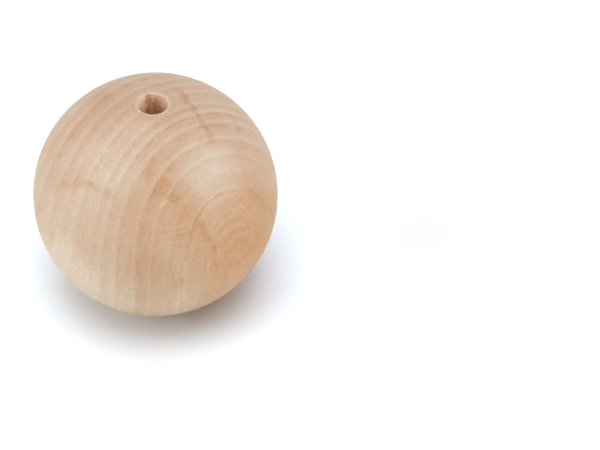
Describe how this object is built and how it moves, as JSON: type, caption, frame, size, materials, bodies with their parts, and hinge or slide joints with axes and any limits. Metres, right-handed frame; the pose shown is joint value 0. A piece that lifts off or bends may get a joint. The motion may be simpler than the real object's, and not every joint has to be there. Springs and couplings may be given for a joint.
{
  "type": "wooden bead",
  "caption": "Round bead turned from one piece of pale wood, with a straight bore through its centre and eased mouths, to thread on a cord or fit on a dowel.",
  "frame": {"origin": "centre of the ball, which is the middle of the bore's axis", "axes": "+Z along the bore, out of the mouth that is on top when the bead stands on the edge of its lower mouth; +Y away from the viewer"},
  "size_m": [0.06, 0.06, 0.0596],
  "materials": {
    "wood": "bare, finely sanded"
  },
  "bodies": {
    "root": {"bead": "wood"}
  },
  "joints": []
}
